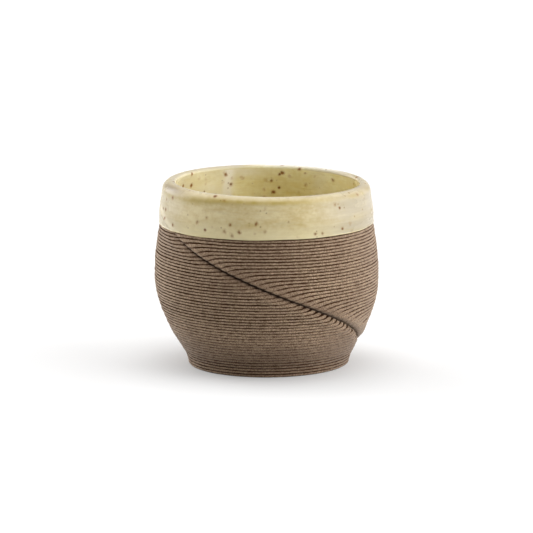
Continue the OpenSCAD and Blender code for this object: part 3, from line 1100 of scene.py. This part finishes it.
# The stage's floor: half its side in metres, its grey as seen and as it lights the cup, and the painted
# glow that makes it white away from the cup and lightens its shadow near it: strength near and far, from
# where to where, round which point in metres, and how much distance counts in each direction
FLOOR_SIDE, FLOOR_SEEN, FLOOR_BOUNCE = 12.0, 0.61, 0.38
LIFT_NEAR, LIFT_FAR, LIFT_FROM, LIFT_TO = 0.25, 0.37, 20.0, 50.0
LIFT_AT, LIFT_SCALE = (0.5 * MM, 0.0, 0.0), (1.0, 0.75, 1.0)

# The camera: scale at the cup, the photo's side in pixels, distance, elevation, the height that it looks
# at, its sensor's width, and how far it sees in metres
PX_PER_MM, PHOTO_PX = 3.31, 533
EYE_DISTANCE, EYE_ELEVATION, AIM_Z = 1500.0, 10.9, 29.35
SENSOR, VIEW_END = 36.0, 100.0


def floor():
    """A wide pale floor with a painted glow, white to the camera and in reflections, that gives the cup
    less light.
    """
    mesh = bpy.data.meshes.new("stage_floor")
    corners = [(x * FLOOR_SIDE, y * FLOOR_SIDE, 0.0) for x, y in ((-1, -1), (1, -1), (1, 1), (-1, 1))]
    mesh.from_pydata(corners, [], [(0, 1, 2, 3)])
    piece = bpy.data.objects.new("stage_floor", mesh)
    bpy.context.scene.collection.objects.link(piece)
    material, s = new_material("stage_white")
    rays = s.node("ShaderNodeLightPath")
    seen = s.math("MAXIMUM", rays.outputs["Is Camera Ray"], rays.outputs["Is Glossy Ray"])
    surface = s.node("ShaderNodeBsdfDiffuse")
    s.put(surface.inputs["Color"], s.blend(seen, grey(FLOOR_BOUNCE), grey(FLOOR_SEEN)))
    oval = s.vector("MULTIPLY", s.place(), LIFT_SCALE)
    away = s.vector("DISTANCE", oval.outputs[0], LIFT_AT)
    glow = s.step(away.outputs["Value"], LIFT_FROM * MM, LIFT_TO * MM, LIFT_NEAR, LIFT_FAR)
    lift = s.node("ShaderNodeEmission")
    s.put(lift.inputs["Strength"], s.math("MULTIPLY", seen, glow))
    both = s.node("ShaderNodeAddShader")
    s.put(both.inputs[0], surface.outputs[0])
    s.put(both.inputs[1], lift.outputs[0])
    s.show(both)
    mesh.materials.append(material)


def studio_light():
    """White surroundings made of soft-edged light walls, and a pale back that only glossy pieces show."""
    world = bpy.data.worlds.new("studio")
    bpy.context.scene.world = world
    world.use_nodes = True
    s = Shader(world.node_tree)
    axes = s.node("ShaderNodeSeparateXYZ")
    s.put(axes.inputs[0], s.node("ShaderNodeTexCoord").outputs["Generated"])
    x, y, z = axes.outputs
    azimuth = s.math("DEGREES", s.math("ARCTAN2", x, s.math("MULTIPLY", y, -1.0)))
    elevation = s.math("DEGREES", s.math("ARCSINE", z))
    level = 0.0
    for name, middle, half, low, high, strength in LIGHTS:
        off = s.math("ABSOLUTE", s.math("WRAP", s.math("SUBTRACT", azimuth, middle), 180.0, -180.0))
        wide = s.step(off, half + SOFT_SIDE, half - SOFT_SIDE)
        tall = s.math("MULTIPLY", s.step(elevation, low - SOFT_TOP, low + SOFT_TOP),
                      s.step(elevation, high + SOFT_TOP, high - SOFT_TOP))
        level = s.math("MULTIPLY_ADD", s.math("MULTIPLY", wide, tall), strength, level)
        level.node.label = name
    side = s.step(s.math("ABSOLUTE", azimuth), *BACK_SIDE)
    behind = s.math("MULTIPLY", side, s.step(elevation, *BACK_TOP))
    glossy = s.node("ShaderNodeLightPath").outputs["Is Glossy Ray"]
    back = s.math("MULTIPLY", s.math("MULTIPLY", behind, glossy), BACK_SHOWN)
    background = s.node("ShaderNodeBackground")
    s.put(background.inputs["Strength"], s.math("MAXIMUM", level, back))
    s.show(background, "ShaderNodeOutputWorld")


def camera():
    """A long lens at the photo's angle."""
    data = bpy.data.cameras.new("camera")
    data.sensor_width = SENSOR
    data.lens = SENSOR * EYE_DISTANCE * PX_PER_MM / PHOTO_PX
    data.clip_end = VIEW_END
    eye = bpy.data.objects.new("camera", data)
    e = math.radians(EYE_ELEVATION)
    back = Vector((0.0, -math.cos(e), math.sin(e)))
    eye.location = (Vector((0.0, 0.0, AIM_Z)) + back * EYE_DISTANCE) * MM
    eye.rotation_mode = "QUATERNION"
    eye.rotation_quaternion = (-back).to_track_quat("-Z", "Y")
    bpy.context.scene.collection.objects.link(eye)
    bpy.context.scene.camera = eye


clay = clay_material()
glaze = glaze_material()
clay_wall(clay)
floor_slab(clay)
glaze_collar(glaze)
glaze_lining(glaze)
floor()
studio_light()
camera()
bpy.context.scene.view_settings.view_transform = "Standard"
